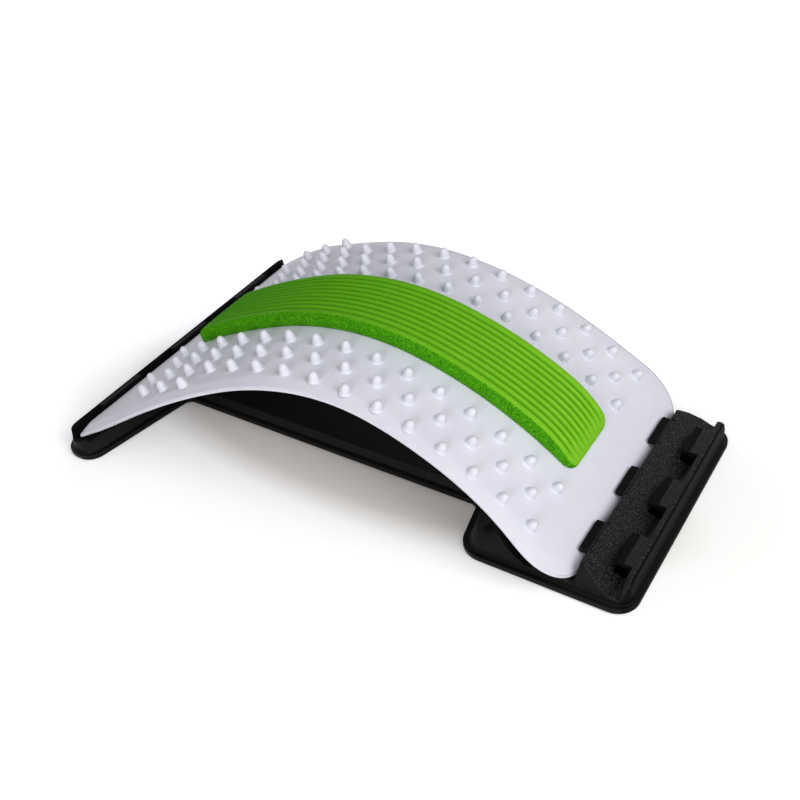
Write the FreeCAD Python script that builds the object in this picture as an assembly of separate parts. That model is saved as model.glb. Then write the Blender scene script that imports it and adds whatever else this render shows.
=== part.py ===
import FreeCAD, Part
import math
import os

# Arched back stretcher: a black moulded base with a wide foot, a narrow waist and a toothed foot,
# a bent white plate with massage nubs that hooks into one fixed slot and one of three tooth rows,
# and a ribbed green foam pad taped along the plate.
# Millimetres, +Z up. The origin is on the floor under the middle of the base, +X points to the
# toothed foot and +Y to the back. The model is mirrored about the plane Y = 0.

# Base outline, at the rim
base_length = 384.0
wide_foot_side_margin = 4.4
wide_foot_front_length = 27.0
toothed_foot_width = 164.0
waist_width = 88.0
foot_side_lean_share = 0.20
outer_edge_bow = 0.6
wide_foot_outer_corner = 14.0
wide_foot_inner_corner = 12.0
waist_corner = 6.0
toothed_foot_inner_corner = 16.0
toothed_foot_outer_corner = 13.0

# Base section
rim_gap_below = 0.6
rim_thickness = 3.5
rim_ledge = 3.2
outer_rim_ledge = 2.6
wall_draft_share = 0.60
outer_wall_draft_share = 0.10
toothed_side_low_share = 0.16
toothed_side_middle_share = 0.67
toothed_side_high_share = 1.37
toothed_side_knee_height = 11.0
toothed_side_shoulder_height = 15.0
shell_thickness = 2.4
smallest_corner = 1.2
waist_height = 9.0
rib_thickness = 2.0
rib_recess = 1.0
rib_spacing = 48.0

# Tooth rows, the plate sits in the middle one
tooth_rows = 3
plate_row = 1
tooth_pitch = 25.4
last_wall_from_end = 8.1
seat_length = 4.5
seat_height = 7.6
crest_length = 1.0
outer_land_length = 1.6
outer_land_round = 4.2
outer_land_steps = 4
approach_length = 13.0
approach_land_length = 6.7

# Hook tabs over the tooth rows
tabs_per_row = 3
tab_pitch = 49.3
tab_width = 23.8
tab_thickness = 3.7
tab_overhang = 5.6
last_tab_overhang = 10.0
tab_nose = 0.8
hook_clearance = 0.85
window_clearance = 0.5

# Fixed slot in the wide foot
slot_wall_from_end = 6.6
slot_land_height = 17.0
slot_seat_height = 10.6
slot_seat_length = 6.0
slot_ramp_length = 8.0
slot_crest_height = 14.0
slot_crest_length = 6.0
slot_fall_length = 16.0
slot_tab_pitch = 71.0
slot_tab_width = 36.0
slot_tab_overhang = 5.0
slot_tab_thickness = 2.6

# Plate
plate_thickness = 2.8
plate_lip = 1.6
plate_end_clearance = 0.4
seat_clearance = 0.4
tab_clearance = 0.4
arch_rise = 87.5
arch_length_shares = (0.199, 0.161, 0.107, 0.161, 0.134, 0.107, 0.131)
arch_turn_shares = (0.091, 0.102, 0.156, 0.287, 0.162, 0.128, 0.075)
plate_left_half_width = 119.5
plate_waist_half_width = 82.0
plate_right_half_width = 88.6
plate_left_corner = 15.0
plate_right_corner = 21.0
left_side_shares = ((0.106, 1.0), (0.190, 0.73), (0.277, 0.46), (0.375, 0.25), (0.480, 0.10))
waist_place_share = 0.61
right_side_shares = ((0.742, 0.05), (0.835, 0.27), (0.903, 0.73))

# Massage nubs
nub_pitch = 21.1
nub_row_pitch = 16.2
nub_first_row = 40.4
nub_first_place = 50.3
nub_rows = 4
nub_end_margin = 36.0
nub_edge_margin = 9.0
nub_sides = 8
nub_base_radius = 3.6
nub_shoulder_radius = 2.4
nub_tip_radius = 1.0
nub_shoulder_height = 5.0
nub_height = 7.2
nub_root = 1.0

# Foam pad and its tape
pad_left_margin = 49.6
pad_right_margin = 35.2
pad_width = 48.0
pad_thickness = 9.2
pad_ribs = 10
pad_channel_depth = 1.0
pad_edge_drop = 1.4
pad_end_lip = 3.2
pad_end_round = 14.0
pad_corner_step = 4.5
pad_shoulder_share = 0.33
tape_thickness = 0.8
tape_margin = 3.0
bond_gap = 0.1

# Anti-slip pads
foot_pad_length = 24.0
foot_pad_width = 12.0
foot_pad_thickness = 3.0
foot_pad_inset = 9.0
foot_pad_corner = 3.0
foot_pad_clearance = 0.5

# One overrun for every cut
overrun = 5.0

# How the arch is solved: the limits of its whole turn in degrees, halvings and points for its top
least_turn = 20
most_turn = 140
halvings = 60
top_points = 200

half_length = base_length / 2
half_wide = plate_left_half_width + wide_foot_side_margin
half_toothed = toothed_foot_width / 2
half_waist = waist_width / 2
rim_top = rim_gap_below + rim_thickness
toothed_foot_length = last_wall_from_end + tooth_rows * tooth_pitch + approach_land_length + approach_length
last_wall_x = half_length - last_wall_from_end
slot_wall_x = -half_length + slot_wall_from_end
plate_right_x = last_wall_x - (tooth_rows - 1 - plate_row) * tooth_pitch - plate_end_clearance
plate_left_x = slot_wall_x + plate_end_clearance
plate_right_z = seat_height + seat_clearance + plate_lip
plate_left_z = slot_seat_height + seat_clearance + plate_lip
tape_offset = bond_gap
pad_offset = tape_offset + tape_thickness + bond_gap


def vector(x, y, z):
    return FreeCAD.Vector(x, y, z)


def direction(start, end):
    """Unit vector from one plan point to the next."""
    dx = end[0] - start[0]
    dy = end[1] - start[1]
    size = math.hypot(dx, dy)
    return dx / size, dy / size


def inset_corners(corners, distances):
    """Move each edge of a counter-clockwise outline inwards by its own distance."""
    count = len(corners)
    moved = []
    for index in range(count):
        before = corners[index - 1]
        here = corners[index]
        after = corners[(index + 1) % count]
        ax, ay = direction(before, here)
        bx, by = direction(here, after)
        in_distance = distances[index - 1]
        out_distance = distances[index]
        px = here[0] - ay * in_distance
        py = here[1] + ax * in_distance
        qx = here[0] - by * out_distance
        qy = here[1] + bx * out_distance
        cross = ax * by - ay * bx
        along = ((qx - px) * by - (qy - py) * bx) / cross
        moved.append((px + ax * along, py + ay * along))
    return moved


def rounded_wire(corners, radii, z):
    """Closed wire of straight runs with a tangent arc at every corner."""
    count = len(corners)
    arcs = []
    for index in range(count):
        before = corners[index - 1]
        here = corners[index]
        after = corners[(index + 1) % count]
        ax, ay = direction(before, here)
        bx, by = direction(here, after)
        half_turn = math.acos(max(-1, min(1, ax * bx + ay * by))) / 2
        radius = radii[index]
        reach = radius * math.tan(half_turn)
        depth = radius * (1 / math.cos(half_turn) - 1)
        mx, my = direction((ax, ay), (bx, by))
        start = vector(here[0] - ax * reach, here[1] - ay * reach, z)
        middle = vector(here[0] + mx * depth, here[1] + my * depth, z)
        end = vector(here[0] + bx * reach, here[1] + by * reach, z)
        arcs.append((start, middle, end))
    edges = []
    for index in range(count):
        start, middle, end = arcs[index]
        edges.append(Part.Arc(start, middle, end).toShape())
        edges.append(Part.LineSegment(end, arcs[(index + 1) % count][0]).toShape())
    return Part.Wire(edges)


def side_prism(points, half_width, middle=0.0):
    """Solid with the given X-Z outline, running along Y on both sides of the middle."""
    corners = [vector(x, middle - half_width, z) for x, z in points]
    face = Part.Face(Part.makePolygon(corners + [corners[0]]))
    return face.extrude(vector(0, 2 * half_width, 0))


def block(x0, x1, y0, y1, z0, z1):
    return Part.makeBox(x1 - x0, y1 - y0, z1 - z0, vector(x0, y0, z0))


class Arch:
    """Side view of the bent plate: a chain of tangent arcs between its two seats."""

    def __init__(self, start, end, rise):
        self.start = start
        low = math.radians(least_turn)
        high = math.radians(most_turn)
        for _ in range(halvings):
            turn = (low + high) / 2
            self.build(end, turn)
            if self.top() < rise:
                low = turn
            else:
                high = turn

    def build(self, end, turn):
        """Scale and turn the unit chain so that it runs from the start to the end."""
        run_x = 0.0
        run_z = 0.0
        tangent = 0.0
        for length, share in zip(arch_length_shares, arch_turn_shares):
            radius = length / (share * turn)
            after = tangent - share * turn
            run_x += radius * (math.sin(tangent) - math.sin(after))
            run_z += radius * (math.cos(after) - math.cos(tangent))
            tangent = after
        span_x = end[0] - self.start[0]
        span_z = end[1] - self.start[1]
        scale = math.hypot(span_x, span_z) / math.hypot(run_x, run_z)
        tangent = math.atan2(span_z, span_x) - math.atan2(run_z, run_x)
        self.arcs = []
        place = 0.0
        point = self.start
        for length, share in zip(arch_length_shares, arch_turn_shares):
            radius = scale * length / (share * turn)
            centre = (point[0] + radius * math.sin(tangent), point[1] - radius * math.cos(tangent))
            self.arcs.append((place, place + scale * length, centre, radius, tangent))
            place += scale * length
            tangent -= share * turn
            point = (centre[0] - radius * math.sin(tangent), centre[1] + radius * math.cos(tangent))
        self.length = place

    def arc_at(self, place):
        for arc in self.arcs:
            if place <= arc[1]:
                return arc
        return self.arcs[-1]

    def tangent(self, place):
        begin, _, _, radius, tangent = self.arc_at(place)
        return tangent - (place - begin) / radius

    def normal(self, place):
        angle = self.tangent(place)
        return vector(-math.sin(angle), 0, math.cos(angle))

    def point(self, place, offset, y=0.0):
        """Point at an arc length from the left end and a height above the plate's top face."""
        _, _, centre, radius, _ = self.arc_at(place)
        angle = self.tangent(place)
        reach = radius + offset
        return vector(centre[0] - reach * math.sin(angle), y, centre[1] + reach * math.cos(angle))

    def top(self):
        heights = [self.point(self.length * step / top_points, 0).z for step in range(top_points + 1)]
        return max(heights)

    def height_at(self, x):
        """Height of the plate's top face at a place along X, by halving."""
        low = -overrun
        high = self.length + overrun
        for _ in range(halvings):
            middle = (low + high) / 2
            if self.point(middle, 0).x < x:
                low = middle
            else:
                high = middle
        return self.point(low, 0).z

    def edges(self, first, last, offset, y=0.0, slack=0.0):
        """Arcs of the side view between two places. No arc ends within the slack of either place."""
        breaks = [first]
        breaks += [arc[1] for arc in self.arcs[:-1] if first + slack < arc[1] < last - slack]
        breaks.append(last)
        shapes = []
        for begin, end in zip(breaks[:-1], breaks[1:]):
            _, _, centre, radius, _ = self.arc_at((begin + end) / 2)
            points = [self.point(begin, offset, y)]
            points.append(self.point((begin + end) / 2, offset, y))
            points.append(self.point(end, offset, y))
            shapes.append(Part.Arc(points[0], points[1], points[2]).toShape())
        return shapes

    def strip(self, first, last, low, high, half_width):
        """Solid that follows the plate between two heights, centred on Y = 0."""
        y = -half_width
        shapes = self.edges(first, last, low, y) + self.edges(first, last, high, y)
        shapes.append(Part.LineSegment(self.point(first, low, y), self.point(first, high, y)).toShape())
        shapes.append(Part.LineSegment(self.point(last, low, y), self.point(last, high, y)).toShape())
        wire = Part.Wire(Part.__sortEdges__(shapes))
        return Part.Face(wire).extrude(vector(0, 2 * half_width, 0))


arch = Arch((plate_left_x, plate_left_z), (plate_right_x, plate_right_z), arch_rise)
hook_nose_x = plate_right_x + plate_end_clearance - tab_overhang + tab_nose
hook_low = arch.height_at(hook_nose_x) + hook_clearance
foot_height = hook_low + tab_thickness


def mirrored(front):
    """Outline that repeats the front corners, in reverse, at the back."""
    return front + [(x, -y) for x, y in reversed(front)]


def base_corners():
    lean = foot_side_lean_share
    wide_side = -half_length + outer_edge_bow
    wide_inner = wide_side + wide_foot_front_length
    waist_left = wide_inner + lean * (half_wide - half_waist)
    toothed_inner = half_length - toothed_foot_length
    waist_right = toothed_inner - lean * (half_toothed - half_waist)
    front = [(wide_side, -half_wide), (wide_inner, -half_wide), (waist_left, -half_waist)]
    front += [(waist_right, -half_waist), (toothed_inner, -half_toothed), (half_length, -half_toothed)]
    reach = half_wide - 2 * wide_foot_outer_corner
    slant = outer_edge_bow / (half_wide - reach / 2)
    bow_radius = reach / slant
    bow_x = wide_side - half_wide * slant
    return mirrored(front) + [(bow_x, 0.0)], bow_radius


def toothed_side_inset(z):
    """How far a side of the toothed foot stands inside the rim: steep below, a rounded shoulder above."""
    knee = toothed_side_knee_height
    shoulder = toothed_side_shoulder_height
    inset = rim_ledge + toothed_side_low_share * (min(z, knee) - rim_top)
    inset += toothed_side_middle_share * (min(max(z, knee), shoulder) - knee)
    return inset + toothed_side_high_share * (max(z, shoulder) - shoulder)


def base_wire(z, inward):
    """Outline of the housing at a height: drafted walls inside the rim, moved in by a wall."""
    corners, bow_radius = base_corners()
    draft = rim_ledge + wall_draft_share * (z - rim_top) + inward
    outer = outer_rim_ledge + outer_wall_draft_share * (z - rim_top) + inward
    side = toothed_side_inset(z) + inward
    distances = [outer] + [draft] * 3 + [side, outer, side] + [draft] * 3 + [outer] * 3
    corner_insets = [outer] + [draft] * 10 + [outer]
    convex = [wide_foot_outer_corner, wide_foot_inner_corner, None, None]
    convex += [toothed_foot_inner_corner, toothed_foot_outer_corner]
    radii = []
    for radius, inset in zip(convex + convex[::-1], corner_insets):
        if radius is None:
            radii.append(waist_corner + inset)
        else:
            radii.append(max(radius - inset, smallest_corner))
    radii.append(bow_radius)
    return rounded_wire(inset_corners(corners, distances), radii, z)


def rim_solid():
    corners, bow_radius = base_corners()
    front = [wide_foot_outer_corner, wide_foot_inner_corner, waist_corner, waist_corner]
    front += [toothed_foot_inner_corner, toothed_foot_outer_corner]
    wire = rounded_wire(corners, front + front[::-1] + [bow_radius], rim_gap_below)
    return Part.Face(wire).extrude(vector(0, 0, rim_thickness))


def drafted_block(low, high, inward):
    levels = [low, toothed_side_knee_height, toothed_side_shoulder_height, high]
    return Part.makeLoft([base_wire(z, inward) for z in levels], True, True)


def wall_places():
    return [last_wall_x - (tooth_rows - 1 - row) * tooth_pitch for row in range(tooth_rows)]


def slot_points(skin):
    """Side view from the fixed slot's seat over its ramp down to the waist, lowered by a skin."""
    x = slot_wall_x + slot_seat_length
    points = [(x, slot_seat_height - skin)]
    x += slot_ramp_length
    points.append((x, slot_crest_height - skin))
    x += slot_crest_length
    points.append((x, slot_crest_height - skin))
    x += slot_fall_length
    points.append((x, waist_height - skin))
    return points


def tooth_points(skin):
    """Side view of the approach and the saw teeth, up to the foot of the last wall."""
    top = foot_height - skin
    seat = seat_height - skin
    start = half_length - toothed_foot_length
    points = [(start, waist_height - skin), (start + approach_length, top)]
    for wall in wall_places():
        crest = wall - tooth_pitch
        points += [(crest + skin, top), (crest + skin + crest_length, top)]
        points += [(wall - seat_length, seat), (wall + skin, seat)]
    return points


def outer_profile():
    """Side view of the base's top, with the lands behind the slot and the last tooth row."""
    outer = half_length + overrun
    points = [(-outer, rim_gap_below), (-outer, slot_land_height)]
    points += [(slot_wall_x, slot_land_height), (slot_wall_x, slot_seat_height)]
    points += slot_points(0.0) + tooth_points(0.0)
    points.append((last_wall_x, foot_height))
    land_end = last_wall_x + outer_land_length
    for step in range(outer_land_steps + 1):
        angle = math.pi / 2 * step / outer_land_steps
        x = land_end + outer_land_round * math.sin(angle)
        z = foot_height - outer_land_round * (1 - math.cos(angle))
        points.append((x, z))
    points += [(outer, foot_height - outer_land_round), (outer, rim_gap_below)]
    return points


def inner_profile():
    """Side view of the hollow under the shell. Both end lands stay solid."""
    outer = half_length + overrun
    points = [(-outer, 0.0), (-outer, slot_seat_height - shell_thickness)]
    points += slot_points(shell_thickness) + tooth_points(shell_thickness)
    points.append((last_wall_x + shell_thickness, 0.0))
    return points


def tab_places(count, pitch):
    return [(index - (count - 1) / 2) * pitch for index in range(count)]


def hook_tabs():
    """Tabs that reach over the seats, flush with the crest behind them."""
    tabs = []
    for row, wall in enumerate(wall_places()):
        reach = last_tab_overhang if row == tooth_rows - 1 else tab_overhang
        root = wall + shell_thickness / 2
        points = [(root, hook_low), (wall - reach + tab_nose, hook_low), (wall - reach, hook_low + tab_nose)]
        points += [(wall - reach, foot_height - tab_nose), (wall - reach + tab_nose, foot_height)]
        points.append((root, foot_height))
        for y in tab_places(tabs_per_row, tab_pitch):
            tabs.append(side_prism(points, tab_width / 2, y))
    return tabs


def slot_tabs():
    """Tabs of the fixed slot, sloped like the plate that runs out from under them."""
    nose = slot_wall_x + slot_tab_overhang
    root = slot_wall_x - shell_thickness / 2
    slope = math.tan(arch.tangent(0.0))
    rise = tab_clearance / math.cos(arch.tangent(0.0))
    low_nose = arch.height_at(nose) + rise
    low_root = low_nose - slope * (nose - root)
    thick = slot_tab_thickness / math.cos(arch.tangent(0.0))
    points = [(root, low_root), (nose, low_nose), (nose, low_nose + thick), (root, slot_land_height)]
    return [side_prism(points, slot_tab_width / 2, y) for y in tab_places(tabs_per_row, slot_tab_pitch)]


def tab_windows():
    """Openings in the ramps right under the tabs, where the mould came through."""
    cuts = []
    gap = window_clearance
    for row, wall in enumerate(wall_places()):
        reach = last_tab_overhang if row == tooth_rows - 1 else tab_overhang
        for y in tab_places(tabs_per_row, tab_pitch):
            half = tab_width / 2 + gap
            cuts.append(block(wall - reach - gap, wall, y - half, y + half, -overrun, hook_low))
    for y in tab_places(tabs_per_row, slot_tab_pitch):
        half = slot_tab_width / 2 + gap
        end = slot_wall_x + slot_tab_overhang + gap
        cuts.append(block(slot_wall_x, end, y - half, y + half, -overrun, slot_seat_height + gap))
    return cuts


def rib_grid():
    """Stiffening ribs under the base, evenly spaced both ways."""
    ribs = []
    low = rim_gap_below + rib_recess
    half = rib_thickness / 2
    reach = half_wide + overrun
    across = int(math.ceil(base_length / rib_spacing))
    step = base_length / across
    for index in range(1, across):
        x = -half_length + index * step
        ribs.append(block(x - half, x + half, -reach, reach, low, foot_height))
    along = int(math.ceil(2 * half_wide / rib_spacing))
    step = 2 * half_wide / along
    for index in range(1, along):
        y = -half_wide + index * step
        ribs.append(block(-half_length, half_length, y - half, y + half, low, foot_height))
    return ribs


def foot_pad_places():
    """Middle and half sizes of each anti-slip pad, out of the way of the windows."""
    left = -half_length + outer_edge_bow + wide_foot_front_length / 2
    left_y = half_wide - foot_pad_inset - foot_pad_length / 2
    right = half_length - foot_pad_inset - foot_pad_length / 2
    right_y = half_toothed - foot_pad_inset - foot_pad_width / 2
    places = []
    for side in (-1, 1):
        places.append((left, side * left_y, foot_pad_width / 2, foot_pad_length / 2))
        places.append((right, side * right_y, foot_pad_length / 2, foot_pad_width / 2))
    return places


def pad_seats():
    """Bosses under the base that the anti-slip pads are stuck to, and the room that ribs leave them."""
    seats = []
    rooms = []
    top = foot_pad_thickness
    for x, y, half_x, half_y in foot_pad_places():
        reach_x = half_x + rib_thickness
        reach_y = half_y + rib_thickness
        seats.append(block(x - reach_x, x + reach_x, y - reach_y, y + reach_y, top, foot_height))
        reach_x = half_x + foot_pad_clearance
        reach_y = half_y + foot_pad_clearance
        rooms.append(block(x - reach_x, x + reach_x, y - reach_y, y + reach_y, -overrun, top))
    return seats, rooms


def make_base():
    prism_half = half_wide + overrun
    outer_side = side_prism(outer_profile(), prism_half)
    housing = drafted_block(rim_top, foot_height + overrun, 0.0).common(outer_side)
    body = rim_solid().fuse(housing)
    inner_side = side_prism(inner_profile(), prism_half)
    cavity = drafted_block(0.0, foot_height + overrun, shell_thickness).common(inner_side)
    ribs = rib_grid()
    seats, rooms = pad_seats()
    stiffeners = ribs[0].multiFuse(ribs[1:] + seats).cut(rooms).common(cavity)
    body = body.cut(cavity).fuse(stiffeners)
    tabs = hook_tabs() + slot_tabs()
    body = body.cut(tab_windows()).multiFuse(tabs)
    return body.removeSplitter()


def side_points():
    """Points of the waisted curve along one side of the plate, from corner to corner."""
    span = plate_right_x - plate_left_x
    left_gain = plate_left_half_width - plate_waist_half_width
    right_gain = plate_right_half_width - plate_waist_half_width
    points = [(plate_left_x + plate_left_corner, plate_left_half_width)]
    for place, share in left_side_shares:
        points.append((plate_left_x + place * span, plate_waist_half_width + share * left_gain))
    points.append((plate_left_x + waist_place_share * span, plate_waist_half_width))
    for place, share in right_side_shares:
        points.append((plate_left_x + place * span, plate_waist_half_width + share * right_gain))
    points.append((plate_right_x - plate_right_corner, plate_right_half_width))
    return points


def plate_outline():
    """Plan of the plate: straight ends, round corners and a waisted curve along each side."""
    points = side_points()
    edges = []
    for side in (-1, 1):
        curve = Part.BSplineCurve()
        along = [vector(x, side * y, 0) for x, y in points]
        curve.interpolate(Points=along, InitialTangent=vector(1, 0, 0), FinalTangent=vector(1, 0, 0))
        edges.append(curve.toShape())
        for end_x, radius, half_width, sign in (
            (plate_left_x, plate_left_corner, plate_left_half_width, -1),
            (plate_right_x, plate_right_corner, plate_right_half_width, 1),
        ):
            centre_x = end_x - sign * radius
            centre_y = half_width - radius
            reach = radius * math.sqrt(0.5)
            start = vector(centre_x, side * half_width, 0)
            middle = vector(centre_x + sign * reach, side * (centre_y + reach), 0)
            end = vector(end_x, side * centre_y, 0)
            edges.append(Part.Arc(start, middle, end).toShape())
    for end_x, radius, half_width in (
        (plate_left_x, plate_left_corner, plate_left_half_width),
        (plate_right_x, plate_right_corner, plate_right_half_width),
    ):
        y = half_width - radius
        edges.append(Part.LineSegment(vector(end_x, -y, 0), vector(end_x, y, 0)).toShape())
    return Part.Wire(Part.__sortEdges__(edges))


def half_width_at(x):
    """The plate's half width at a place along X, between the points of its side curve."""
    points = side_points()
    for (x0, y0), (x1, y1) in zip(points[:-1], points[1:]):
        if x <= x1:
            return y0 + (y1 - y0) * (x - x0) / (x1 - x0)
    return plate_right_half_width


def nub_places():
    """Arc length and distance from the middle of every nub on one side, as far as the plate reaches."""
    places = []
    for row in range(nub_rows):
        y = nub_first_row + row * nub_row_pitch
        place = nub_first_place + row % 2 * nub_pitch / 2
        while place <= arch.length - nub_end_margin:
            if y + nub_edge_margin <= half_width_at(arch.point(place, 0).x):
                places.append((place, y))
            place += nub_pitch
    return places


def nub_ring(place, y, height, radius):
    """Corners of a polygon round the nub's axis at a height above the plate."""
    normal = arch.normal(place)
    along = vector(normal.z, 0, -normal.x)
    centre = arch.point(place, height, y)
    corners = []
    for index in range(nub_sides):
        angle = 2 * math.pi * index / nub_sides
        corners.append(centre + along * (radius * math.cos(angle)) + vector(0, radius * math.sin(angle), 0))
    return corners


def flat_face(corners):
    return Part.Face(Part.makePolygon(corners + [corners[0]]))


def make_nub(place, y):
    """One nub: a tapered, blunt bullet of flat faces, rooted in the plate and square to it."""
    slope = (nub_base_radius - nub_shoulder_radius) / nub_shoulder_height
    rings = [nub_ring(place, y, -nub_root, nub_base_radius + slope * nub_root)]
    rings.append(nub_ring(place, y, nub_shoulder_height, nub_shoulder_radius))
    rings.append(nub_ring(place, y, nub_height, nub_tip_radius))
    faces = [flat_face(rings[0]), flat_face(rings[-1])]
    for low, high in zip(rings[:-1], rings[1:]):
        for index in range(nub_sides):
            faces.append(flat_face([low[index - 1], low[index], high[index], high[index - 1]]))
    return Part.makeSolid(Part.makeShell(faces))


def make_plate():
    strip = arch.strip(-overrun, arch.length + overrun, -plate_thickness, 0.0, half_wide)
    plan = Part.Face(plate_outline()).extrude(vector(0, 0, arch_rise + overrun))
    sheet = strip.common(plan)
    left_seat = block(plate_left_x - overrun, 0.0, -half_wide, half_wide,
                      -overrun, slot_seat_height + seat_clearance)
    right_seat = block(0.0, plate_right_x + overrun, -half_wide, half_wide,
                       -overrun, seat_height + seat_clearance)
    sheet = sheet.cut([left_seat, right_seat])
    nubs = []
    for place, y in nub_places():
        nubs.append(make_nub(place, y))
        nubs.append(make_nub(place, -y))
    return sheet.multiFuse(nubs)


def pad_section(y, top, shorten):
    """Side view of the pad at one distance from its middle. All of them have as many edges."""
    slack = pad_corner_step - shorten
    first = pad_left_margin + shorten
    last = arch.length - pad_right_margin - shorten
    lip = pad_offset + min(pad_end_lip, top / 2)
    shapes = arch.edges(first, last, pad_offset, y, slack)
    shapes += arch.edges(first + pad_end_round, last - pad_end_round, top, y, slack)
    bend = math.sqrt(0.5)
    for end, sign in ((first, 1), (last, -1)):
        shapes.append(Part.LineSegment(arch.point(end, pad_offset, y), arch.point(end, lip, y)).toShape())
        middle = end + sign * pad_end_round * (1 - bend)
        height = lip + (top - lip) * bend
        arc = Part.Arc(arch.point(end, lip, y), arch.point(middle, height, y),
                       arch.point(end + sign * pad_end_round, top, y))
        shapes.append(arc.toShape())
    return Part.Wire(Part.__sortEdges__(shapes))


def make_pad():
    """Foam pad: a ruled loft through side views, on every rib's crest and every channel."""
    crest = pad_offset + pad_thickness
    rib = (pad_width - 2 * pad_edge_drop) / pad_ribs
    half = pad_width / 2
    sections = [(-half, crest - pad_edge_drop, pad_corner_step)]
    for index in range(2 * pad_ribs + 1):
        y = -half + pad_edge_drop + index * rib / 2
        on_edge = index in (0, 2 * pad_ribs)
        depth = 0.0 if index % 2 or on_edge else pad_channel_depth
        corner = pad_corner_step * pad_shoulder_share if on_edge else 0.0
        sections.append((y, crest - depth, corner))
    sections.append((half, crest - pad_edge_drop, pad_corner_step))
    wires = [pad_section(y, top, shorten) for y, top, shorten in sections]
    return Part.makeLoft(wires, True, True)


def make_tape():
    first = pad_left_margin + tape_margin + pad_corner_step
    last = arch.length - pad_right_margin - tape_margin - pad_corner_step
    half = pad_width / 2 - tape_margin
    return arch.strip(first, last, tape_offset, tape_offset + tape_thickness, half)


def make_foot_pad(x, y, half_x, half_y):
    corners = [(x - half_x, y - half_y), (x + half_x, y - half_y)]
    corners += [(x + half_x, y + half_y), (x - half_x, y + half_y)]
    wire = rounded_wire(corners, [foot_pad_corner] * 4, 0.0)
    return Part.Face(wire).extrude(vector(0, 0, foot_pad_thickness))


def save(name, shape):
    solids = shape.Solids
    if len(solids) == 1:
        shape = solids[0]
    box = shape.optimalBoundingBox(False)
    print(f"{name}: solids {len(solids)}, valid {shape.isValid()}, volume {shape.Volume:.0f}, "
          f"x {box.XMin:.1f} {box.XMax:.1f}, y {box.YMin:.1f} {box.YMax:.1f}, z {box.ZMin:.1f} {box.ZMax:.1f}")
    shape.exportStep(f"parts/{name}.step")


def main():
    os.makedirs("parts", exist_ok=True)
    print(f"plate length {arch.length:.1f}, end slopes {math.degrees(arch.tangent(0.0)):.1f} and "
          f"{math.degrees(arch.tangent(arch.length)):.1f} degrees")
    save("base", make_base())
    save("arch_plate", make_plate())
    save("pad_tape", make_tape())
    save("foam_pad", make_pad())
    for index, place in enumerate(foot_pad_places()):
        save(f"anti_slip_pad_{index + 1}", make_foot_pad(*place))


main()
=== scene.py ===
"""Looks of the arched back massager: a bent white plate with nubs and a ribbed foam strip on a black base."""

import logging
import math
from dataclasses import dataclass, field
from enum import Enum
from typing import Any

import bmesh
import bpy
import numpy as np
from mathutils import Matrix, Vector


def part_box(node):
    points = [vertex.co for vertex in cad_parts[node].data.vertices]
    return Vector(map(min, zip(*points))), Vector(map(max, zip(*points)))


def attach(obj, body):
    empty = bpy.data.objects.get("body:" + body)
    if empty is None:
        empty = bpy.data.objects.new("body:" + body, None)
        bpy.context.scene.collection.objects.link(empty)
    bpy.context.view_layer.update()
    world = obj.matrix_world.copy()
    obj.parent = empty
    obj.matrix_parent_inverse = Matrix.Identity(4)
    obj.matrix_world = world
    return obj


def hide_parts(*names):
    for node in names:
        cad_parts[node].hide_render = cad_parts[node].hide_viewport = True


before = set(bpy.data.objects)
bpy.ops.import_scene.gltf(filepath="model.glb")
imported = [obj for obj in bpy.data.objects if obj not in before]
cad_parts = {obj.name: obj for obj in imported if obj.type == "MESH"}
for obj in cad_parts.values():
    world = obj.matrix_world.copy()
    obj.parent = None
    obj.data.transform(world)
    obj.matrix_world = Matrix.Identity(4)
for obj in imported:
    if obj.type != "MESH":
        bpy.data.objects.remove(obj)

Array = np.ndarray
NodeTree = bpy.types.NodeTree

LOG = logging.getLogger("back_massager")
# One millimetre in Blender's metres
MM = 0.001
# Heights of the plate's top face at its left and right seat, in millimetres
SEAT_HEIGHTS = (12.6, 9.6)
# The foam strip's point attribute: how much painted shade each point has, darker in the channels and towards the
# left end
PAINTED_SHADE_ATTRIBUTE = "painted_shade_share"
# Octaves of the noise behind a finish's grain, its waviness and its mottling
FINE_NOISE = {"Detail": 3.0, "Roughness": 0.6}
SLOW_NOISE = {"Detail": 2.0, "Roughness": 0.4}
MOTTLE_NOISE = {"Detail": 4.0, "Roughness": 0.65}
# The span that nearly all values of the fine noise lie in
NOISE_SPAN = {"From Min": 0.3, "From Max": 0.7}
# The Mix node's colour sockets go by number, because its sockets for other data have the same names
MIX_A, MIX_B, MIX_RESULT = "6", "7", 2


# Helpers


def to_linear(code: str) -> tuple[float, float, float, float]:
    """Turn an sRGB hex colour into linear red, green, blue and alpha.

    Args:
        code: the colour as "#RRGGBB".

    Returns:
        Linear values from 0 to 1, with an alpha of 1.
    """
    parts = [int(code[at:at + 2], 16) / 255 for at in (1, 3, 5)]
    linear = [c / 12.92 if c <= 0.04045 else ((c + 0.055) / 1.055) ** 2.4 for c in parts]
    return linear[0], linear[1], linear[2], 1.0


def add_node(tree: NodeTree, kind: str, inputs: dict[str, Any] | None = None, **settings: Any) -> bpy.types.Node:
    """Add one node with its settings, socket values and incoming links.

    Args:
        tree: the node tree.
        kind: Blender's name of the node type.
        inputs: socket name to a value, or to the output socket that feeds it.
        settings: properties of the node itself.

    Returns:
        The new node.
    """
    node = tree.nodes.new(kind)
    for name, value in settings.items():
        setattr(node, name, value)
    for name, value in (inputs or {}).items():
        socket = node.inputs[int(name)] if name.isdigit() else node.inputs[name]
        if isinstance(value, bpy.types.NodeSocket):
            tree.links.new(value, socket)
        else:
            socket.default_value = value
    return node


def pattern_scale(size: float) -> float:
    """Texture scale for a pattern of this real size in millimetres."""
    return 1 / (size * MM)


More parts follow.
